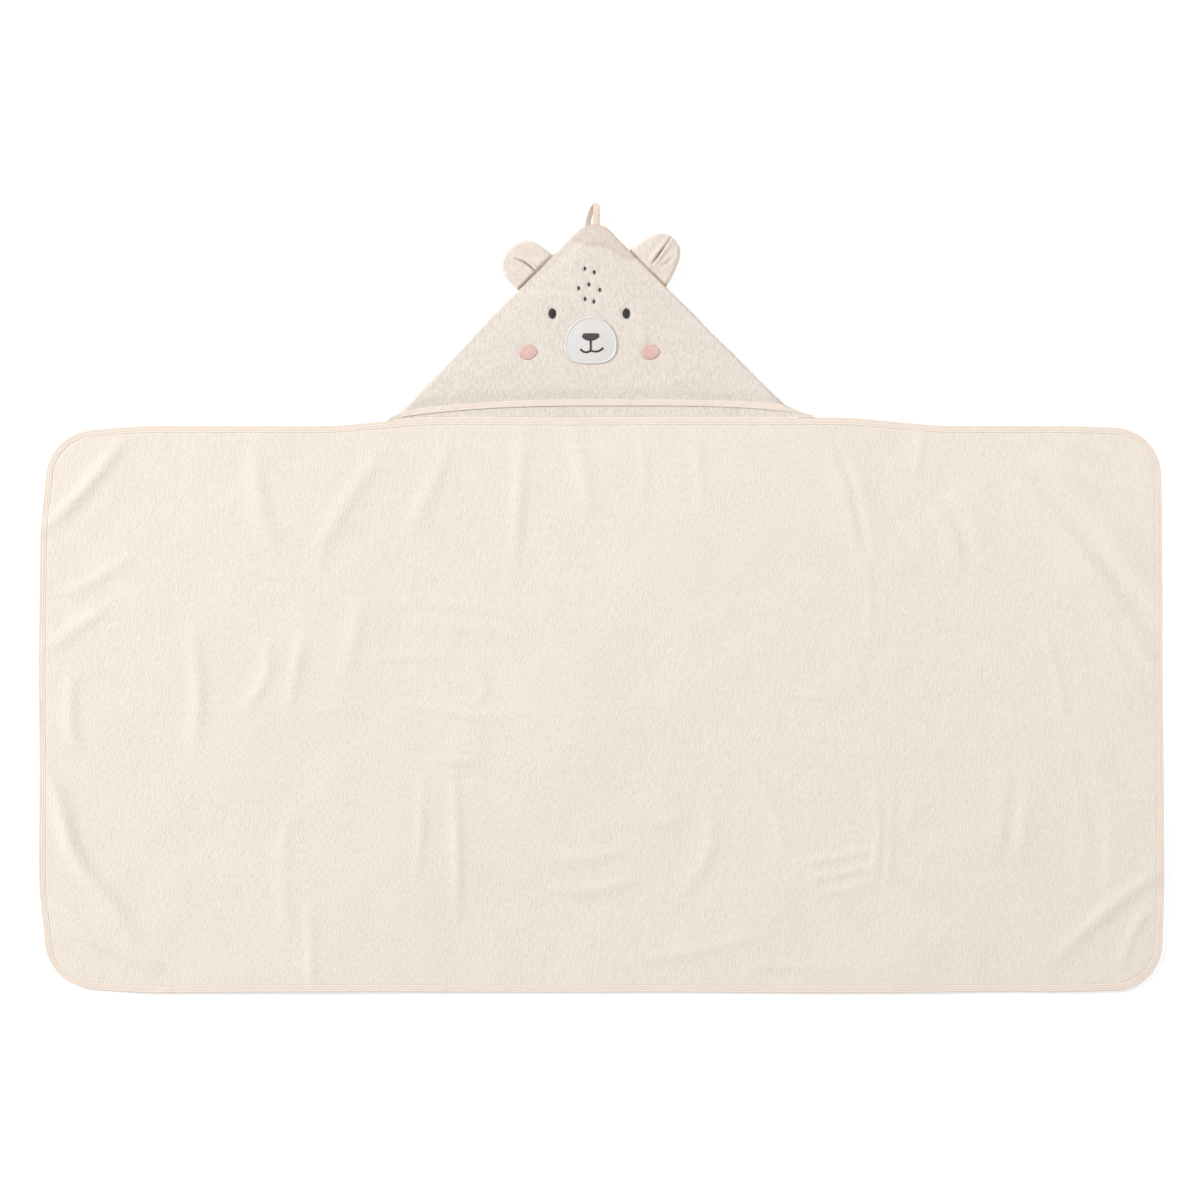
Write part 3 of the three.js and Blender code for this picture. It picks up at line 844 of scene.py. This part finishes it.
def opens(obj):
    """Bakes a piece's placement into its mesh and reads its points back; the points are not used."""
    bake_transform(obj)
    places = np.zeros(3 * len(obj.data.vertices), np.float32)
    obj.data.vertices.foreach_get("co", places)
    return obj


def make_hood_front():
    def base(x):
        return open_edge_at(x) + 1.2 * MM

    flat = hood_grid(base, 0.4 * MM, 2.2 * MM, False)
    x, y = split(flat)
    hem_top = TAPE_WIDTH * HEM_WIDER * hem_room(x)
    free = smooth(y - open_edge_at(x) - hem_top, -4 * MM, 13 * MM)
    dips = np.zeros(x.shape)
    for cx, cy, half in sunk_marks():
        away = np.hypot((x - cx) / half[0], (y - cy) / half[1])
        dips = dips + bell(np.maximum(away - 0.8, 0), 0.35)
    high = front_top(x, y) + free * pile(x, y, 51) - 2.3 * MM * (1 - free) - 0.6 * MM * np.clip(dips, 0, 1)
    clear = mix(2.98 * MM, 3.08 * MM, smooth(from_seam(x, y), 0, 4 * MM))
    low = lift(x, y) + clear + stand_off_at(x, y) + 0.35 * MM * (1 - free)
    high = np.maximum(high, low + 0.25 * MM)
    front = layer("hood_front_cloth", flat, high, low, HOOD_TERRY)
    # Painted shade: over the padded tip, most along its wavy lower crease, and along the turned seams.
    tip = padded_tip(x, y)
    shadow = 0.18 * tip + 0.5 * tip * (1 - tip) + seam_shade(x, y)
    paint_shade(front, shadow, shadow)
    return opens(front)


HEM_LEFT, HEM_RIGHT = (
    float(side) - shift for side, shift in zip(hood_sides(HOOD_BASE_Y), (-1 * MM, 1 * MM))
)


def hem_room(x):
    """Room for the tape between the open edge and the hood's outline, as a share of the tape's width."""
    y = np.linspace(HOOD_BASE_Y, OPEN_EDGE_Y + 2 * TAPE_WIDTH, 60)
    left, right = hood_sides(y)
    outline = np.where(x < HOOD_X, np.interp(x, left, y), np.interp(-x, -right, y))
    return np.clip((outline - open_edge_at(x)) / TAPE_WIDTH, 0.12, 1)


def hem_line(inset):
    """The open edge from corner to corner, moved up by inset. The tape narrows into the corners."""
    share = np.linspace(-1, 1, 130)
    x = mix(HEM_LEFT, HEM_RIGHT, 0.5 + 0.5 * np.sin(share * np.pi / 2))
    return np.column_stack([x, open_edge_at(x) + inset * HEM_WIDER * hem_room(x)])


def make_hem():
    def base(x, y):
        off_back = stand_off_at(x, np.maximum(y, OPEN_EDGE_Y - 9 * MM))
        return lift(x, y) + off_back + mix(1.4 * MM, 3.05 * MM, hem_room(x))

    hem = opens(tape("hem_tape", hem_line, base, thinner=HEM_THINNER))
    return hem, opens(stitches("hem_stitches", hem_line, base, thinner=HEM_THINNER))


# ---------------- the face

def node_middle(node):
    low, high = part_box(node)
    return (low.x + high.x) / 2, (low.y + high.y) / 2, (high.x - low.x) / 2, (high.y - low.y) / 2


ON_TERRY = ["eye_left", "eye_right", "cheek_left", "cheek_right"]
MARKS = [f"forehead_mark_{i}" for i in range(1, 8)]


def sunk_marks():
    """Places where sewing pulls the pile in: centre and half size."""
    for node in ON_TERRY + MARKS + ["muzzle_patch"]:
        x, y, w, h = node_middle(node)
        yield x, y, (w + 1.2 * MM, h + 1.2 * MM)


def bars(starts, ends, width, rise, ground):
    """Threads laid side by side: each a thin bar from start to end, arched over the ground."""
    starts, ends = np.asarray(starts), np.asarray(ends)
    steps = np.array([0, 0.06, 0.25, 0.5, 0.75, 0.94, 1])
    arch = np.array([-0.6, 0.15, 0.8, 1.0, 0.8, 0.15, -0.6])
    girth = np.array([0.35, 0.85, 1, 1, 1, 0.85, 0.35])
    around = 6
    angle = turn(around)
    along = ends - starts
    unit = along / np.linalg.norm(along, axis=1)[:, None]
    side = np.column_stack([-unit[:, 1], unit[:, 0]])
    centre = starts[:, None] + along[:, None] * steps[None, :, None]
    across = (np.cos(angle)[None] * girth[:, None] * width / 2)[None, :, :, None]
    flat = centre[:, :, None] + side[:, None, None] * across
    base = ground(centre[..., 0], centre[..., 1])
    thick = width * 0.5 * np.sin(angle)[None] * girth[:, None]
    z = base[:, :, None] + (arch * rise)[None, :, None] + thick[None]
    vertices = np.concatenate([flat, z[..., None]], -1).reshape(-1, 3)
    return vertices, rods(len(starts), len(steps), around)


def embroider(node, starts, ends, width, rise, ground, material):
    """Embroidery in place of a CAD node."""
    obj = opens(make(f"{node}_stitch", *bars(starts, ends, width, rise, ground), material))
    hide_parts(node)
    return obj


def on_front(x, y):
    return front_top(x, y) - 0.05 * MM


def satin_oval(node, material, pitch=0.42 * MM, rise=0.5 * MM, upright=False, lean=0.0):
    """An oval filled with satin stitch."""
    cx, cy, half_x, half_y = node_middle(node)
    run, cross = (half_x, half_y) if upright else (half_y, half_x)
    count = int(2 * run / pitch)
    at = (np.arange(count) + 0.5) / count * 2 - 1
    half = cross * np.sqrt(1 - at**2)
    jitter = 0.12 * MM * np.random.default_rng(7).uniform(-1, 1, (2, count))
    ends = []
    for sign, shake in zip((-1, 1), jitter):
        if upright:
            x, y = cx + at * run + sign * lean * half, cy + sign * half + shake
        else:
            x, y = cx + sign * half + shake, cy + at * run + sign * lean * half
        ends.append(np.column_stack([x, y]))
    return embroider(node, *ends, 1.5 * pitch, rise, on_front, material)


def muzzle_edge(inset):
    """The muzzle's outline: a rounded crown on a broad, flatter base."""
    cx, cy, half_x, half_y = node_middle("muzzle_patch")
    angle = turn(240)
    rise = np.sin(angle)
    squarer = np.where(rise < 0, 0.70, 0.96)
    across = powered(np.cos(angle), squarer) * (1 - 0.12 * rise)
    up = powered(rise, np.where(rise < 0, 0.84, 1.0))
    return np.column_stack([cx + (half_x - inset) * across / 1.02, cy + (half_y - inset) * up])


def patch_height(x, y):
    cx, cy, half_x, half_y = node_middle("muzzle_patch")
    away = np.clip(np.hypot((x - cx) / half_x, (y - cy) / half_y), 0, 1)
    return front_top(x, y) + 0.5 * MM + 0.7 * MM * (1 - away**2)


def make_muzzle():
    edge = muzzle_edge(0.8 * MM)
    shares = np.linspace(0.04, 1, 26)
    middle = np.array(node_middle("muzzle_patch")[:2])
    rings = middle + (edge - middle)[None] * shares[:, None, None]
    x, y = split(rings)
    high = patch_height(x, y) + 0.12 * MM * noise(x, y, 9 * MM, 61)
    low = high - 0.5 * MM
    rows, columns = x.shape
    both = np.vstack([np.dstack([rings, high]), np.dstack([rings, low])[::-1]])
    patch = opens(make("muzzle_cloth", both, rods(1, 2 * rows, columns), PATCH))
    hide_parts("muzzle_patch")

    outer_edge, along = even_steps(muzzle_edge(0), 0.5 * MM, closed=True)
    inwards = np.column_stack([-along[:, 1], along[:, 0]])
    wobble = 0.15 * MM * np.random.default_rng(8).uniform(-1, 1, len(outer_edge))
    starts = outer_edge - inwards * 0.3 * MM
    ends = outer_edge + inwards * (2.2 * MM + wobble)[:, None]

    def ground(x, y):
        return np.maximum(front_top(x, y), patch_height(x, y) - 0.25 * MM)

    border = embroider("muzzle_border", starts, ends, 0.7 * MM, 0.45 * MM, ground, WHITE_THREAD)
    return patch, border


def nose_half_heights(x):
    """Top and bottom of the nose at a share across it, as shares of its half height."""
    share = np.abs(x)
    top = np.where(share > 0.8, 1 - 0.55 * ((share - 0.8) / 0.2) ** 2, 1.0)
    bottom = -(1 - share**2.3)
    return top + 0.06, bottom - 0.06


def on_patch(x, y):
    return patch_height(x, y) + 0.1 * MM


def make_nose_and_mouth():
    cx, cy, half_x, half_y = node_middle("nose")
    count = 44
    at = (np.arange(count) + 0.5) / count * 2 - 1
    top, bottom = nose_half_heights(at)
    lean = 0.3 * MM
    starts = np.column_stack([cx + at * half_x - lean, cy + bottom * half_y])
    ends = np.column_stack([cx + at * half_x + lean, cy + top * half_y])
    nose = embroider("nose", starts, ends, 0.62 * MM, 0.5 * MM, on_patch, NOSE_GREY)

    low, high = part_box("mouth")
    fork_y = low.y + 2.1 * MM
    left = [(0, 0), (-2.2, -1.2), (-5.1, -1.7), (-8.2, -0.9), (-10.9, 1.5)]
    right = [(0, 0), (2.6, -0.8), (6.5, -1.0), (10.2, 0.4), (13.2, 2.9)]
    lines = [[(cx, high.y + 0.6 * MM), (cx, (high.y + fork_y) / 2), (cx, fork_y - 0.4 * MM)]]
    lines += [[(cx + a * MM, fork_y + b * MM) for a, b in half] for half in (left, right)]
    starts, ends = [], []
    for line in lines:
        points, along = even_steps(through(line), 0.4 * MM)
        side = np.column_stack([-along[:, 1], along[:, 0]])
        starts.append(points - side * 1.1 * MM)
        ends.append(points + side * 1.1 * MM)
    starts = np.vstack(starts)
    ends = np.vstack(ends)
    return nose, embroider("mouth", starts, ends, 0.6 * MM, 0.45 * MM, on_patch, CHARCOAL)


def make_embroidery():
    made = []
    for side in ("left", "right"):
        made.append(satin_oval(f"eye_{side}", CHARCOAL, rise=0.7 * MM))
        made.append(satin_oval(f"cheek_{side}", PINK, upright=True, lean=0.12))
    for node in MARKS:
        made.append(satin_oval(node, CHARCOAL, pitch=0.4 * MM, rise=0.35 * MM))
    return made


# ---------------- ears

# Half outlines in mm from the middle of the ear's base: along the seam towards the tip, and outwards.
EAR_SHAPES = {
    "left": {
        "tipward": [(26, -2), (25, 8), (23.8, 16), (21.5, 25), (16.5, 32), (8.5, 36.8), (0, 38.6)],
        "hemward": [(-26.5, -2), (-27.5, 8), (-27.4, 17), (-24.5, 27), (-18.5, 34), (-10, 37.8), (0, 38.6)],
        "pleats": [(3.2, 0.8, [(-0.5, -2), (0.4, 6), (-0.4, 13), (-2.2, 19), (-5, 25)])],
    },
    "right": {
        "tipward": [(27.5, -2), (27.6, 9), (26, 19), (24, 28), (18.5, 36), (11, 40.8), (3, 42.2)],
        "hemward": [(-27, -2), (-24.6, 8), (-21.8, 17), (-18.2, 26), (-13.6, 34), (-6.8, 40), (3, 42.2)],
        "pleats": [
            (3.6, 0.9, [(1.2, 7), (2.6, 15), (4.0, 24), (4.8, 30)]),
            (1.4, 1.2, [(4.6, 28), (5.6, 35), (7.4, 42)]),
            (0.9, 1.8, [(-8, 12), (-9.5, 20), (-9.5, 27)]),
        ],
    },
}


def make_ear(side):
    shape = EAR_SHAPES[side]
    joint = joints[f"ear_{side}_fold"]
    root = np.array(joint["pos_m"][:2])
    sign = -1 if side == "left" else 1
    outward = np.array([sign, 1]) / math.sqrt(2)
    tipward = np.array([-sign, 1]) / math.sqrt(2)

    tip_side = through(np.array(shape["tipward"]) * MM, 10)[:-2]
    hem_side = through(np.array(shape["hemward"]) * MM, 10)[:-2]
    rows = min(len(tip_side), len(hem_side))
    width = np.linalg.norm(tip_side[0] - hem_side[0])
    u = spread(width, 0.8 * MM, (0, 0.4, 0.9, 1.5))
    local = mix(hem_side[:rows, None], tip_side[:rows, None], u[None, :, None])
    a, d = split(local)
    outline = np.vstack([hem_side[:rows], tip_side[:rows][::-1]])
    into, _ = near_line(a, d, outline)
    into = np.abs(into)

    swell = rounded(into, 3.2 * MM)
    rooted = smooth(d, -1.5 * MM, 3 * MM)
    half = mix(0.35 * MM, mix(0.9 * MM, 3.0 * MM, rooted), swell)
    plump = 1.1 * MM * rounded(into, 14 * MM) * rooted
    middle = 3.1 * MM

    crease = np.zeros(a.shape)
    shadow = np.zeros(a.shape)
    for depth, wide, places in shape["pleats"]:
        off, share = near_line(a, d, through(np.array(places) * MM))
        fade = np.sin(np.pi * np.clip(share, 0.04, 0.97)) ** 0.6
        crease = crease - depth * MM * fade * bell(off, wide * MM)
        crease = crease + 0.4 * depth * MM * fade * bell(np.abs(off) - 2.8 * MM, 2.4 * MM)
        # Painted shade in the pleat's crease.
        shadow = shadow + depth / 3.4 * fade * bell(off, 0.9 * wide * MM)
    rumple = 0.5 * MM * noise(a, d, 11 * MM, 71 + sign) * swell * rooted

    flat = root + a[..., None] * tipward + d[..., None] * outward
    x, y = split(flat)
    up = lift(x, y)
    seam = 0.35 * MM * bell(into - 1.6 * MM, 0.8 * MM)
    high = up + middle + half + plump + rumple + swell * rooted * crease - seam + swell * pile(x, y, 81)
    low = up + np.maximum(middle - half + 0.3 * rumple, 0.15 * MM)
    high = np.maximum(high, low + 0.4 * MM)
    ear = layer(f"ear_{side}_cloth", flat, high, low, EAR_TERRY)
    # Painted shade along the ear's root seam, stronger towards the hem side.
    painted_root_shade = bell(d, 1.6 * MM) * (0.35 + 0.5 * smooth(-a, -2 * MM, 12 * MM))
    deep = np.clip(np.maximum(shadow, painted_root_shade), 0, 1)
    paint_shade(ear, deep, np.zeros(deep.shape))
    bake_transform(ear)
    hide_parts(f"ear_{side}_front", f"ear_{side}_back")


# ---------------- the hanging loop

def make_loop():
    """A folded tape: its front leg faces up, and it turns over at the top into a slanting back leg."""
    # x, y and z of the tape's middle, and the direction of its width, in mm from the root
    path = np.array([
        (2.9, -2, 3.8), (2.9, 4, 5.2), (2.95, 10, 6.4), (3.1, 15, 7.1), (3.5, 19, 6.9),
        (3.8, 21.2, 5.2), (2.4, 20.4, 3.6), (0.2, 18.3, 2.9), (-2.1, 15.2, 2.9), (-4.2, 10.4, 3.1),
        (-5.7, 5, 3.2), (-6.3, 0, 3.2), (-6.4, -2, 3.2),
    ])
    width = np.array([
        (1, 0, 0), (1, 0, 0), (1, 0, 0), (0.98, -0.12, 0), (0.9, -0.42, 0), (0.83, -0.55, 0),
        (0.8, -0.5, -0.2), (0.76, -0.3, -0.45), (0.7, -0.1, -0.6), (0.7, 0, -0.66), (0.72, 0, -0.66),
        (0.75, 0, -0.6), (0.8, 0, -0.5),
    ])
    middle = through(path, 8) * MM
    across = through(width, 8)
    across /= np.linalg.norm(across, axis=1)[:, None]
    along = np.gradient(middle, axis=0)
    normal = np.cross(across, along)
    normal /= np.linalg.norm(normal, axis=1)[:, None]
    half_width = 3.9 * MM
    half_wall = 0.55 * MM
    angle = turn(28)
    section_x = powered(np.cos(angle), 0.45) * half_width
    section_z = powered(np.sin(angle), 0.6) * half_wall
    sewn = -0.16 * MM * bell(np.abs(section_x) - 3.1 * MM, 0.4 * MM) * np.sign(section_z)
    ring = middle[:, None] + across[:, None] * section_x[None, :, None]
    ring = ring + normal[:, None] * (section_z + sewn)[None, :, None]
    ring = ring + np.array([HOOD_X, TIP_Y, 0.3 * MM])
    rows, columns = ring.shape[:2]
    flat = np.zeros(ring.shape)
    flat[..., 0] = section_x[None]
    flat[..., 1] = (np.arange(rows) * 0.9 * MM)[:, None]
    loop = make("loop_tape_folded", ring.reshape(-1, 3), rods(1, rows, columns), LOOP_TAPE, flat)
    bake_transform(loop)
    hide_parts("hanging_loop")


# ---------------- light, floor and camera

def make_stage():
    finish = Finish("floor")
    speckle = finish.grain((30, 30, 30))
    finish.feed(finish.shader, {
        "Base Color": finish.tones(speckle, [(0.0, (0.95, 0.95, 0.95)), (1.0, (0.96, 0.96, 0.96))]),
        "Roughness": 0.9,
        "Emission Color": (1, 1, 1, 1),
        "Emission Strength": 0.25,
    })
    far = 30.0
    corners = [(-far, -far, 0), (far, -far, 0), (far, far, 0), (-far, far, 0)]
    make("floor", corners, [[0, 1, 2, 3]], finish.material)


def lamp(name, place, size, power, colour=(1.0, 1.0, 1.0)):
    """A round soft light that faces the towel's middle."""
    light = bpy.data.lights.new(name, "AREA")
    light.shape = "DISK"
    light.size = size
    light.energy = power
    light.color = colour
    obj = bpy.data.objects.new(name, light)
    obj.location = place
    direction = -np.array(place)
    yaw = math.atan2(direction[1], direction[0])
    tilt = math.acos(-direction[2] / np.linalg.norm(direction))
    obj.rotation_euler = (tilt, 0, yaw - math.pi / 2)
    bpy.context.scene.collection.objects.link(obj)


def make_light():
    lamp("overhead", (0.6, 0.3, 3.4), 1.6, 16)
    lamp("key", (-5.0, 1.6, 2.6), 1.5, 284, (1.0, 0.99, 0.98))
    lamp("side", (2.1, 1.9, 1.6), 0.8, 24)
    world = bpy.data.worlds.new("world")
    world.use_nodes = True
    sky = world.node_tree.nodes["Background"]
    sky.inputs["Color"].default_value = (1, 1, 1, 1)
    sky.inputs["Strength"].default_value = 0.48
    bpy.context.scene.world = world
    bpy.context.scene.view_settings.view_transform = "Standard"


def make_camera():
    """Straight above. The frame is as wide as the towel and a little more."""
    view_width = 1.2786
    lens = 85.0
    sensor = 36.0
    camera = bpy.data.cameras.new("camera")
    camera.lens = lens
    camera.sensor_width = sensor
    camera.sensor_fit = "HORIZONTAL"
    camera.clip_end = 100
    obj = bpy.data.objects.new("camera", camera)
    obj.location = (-0.0015, -0.0032, view_width * lens / sensor + CLOTH)
    bpy.context.scene.collection.objects.link(obj)
    bpy.context.scene.camera = obj


# ---------------- putting it together

make_camera()
make_light()
make_stage()

towel_cloth = make_towel()
binding, binding_sewn = make_towel_binding()
for piece in (towel_cloth, binding, binding_sewn):
    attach(piece, "towel")
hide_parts("towel_panel")
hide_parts("towel_binding")

hood_back = make_hood_back()
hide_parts("hood_back")
hood_front = make_hood_front()
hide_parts("hood_front")
hem, hem_sewn = make_hem()
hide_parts("hood_hem_binding")

muzzle, muzzle_border = make_muzzle()
nose_and_mouth = make_nose_and_mouth()
embroidery = make_embroidery()
for side in ("left", "right"):
    make_ear(side)
make_loop()
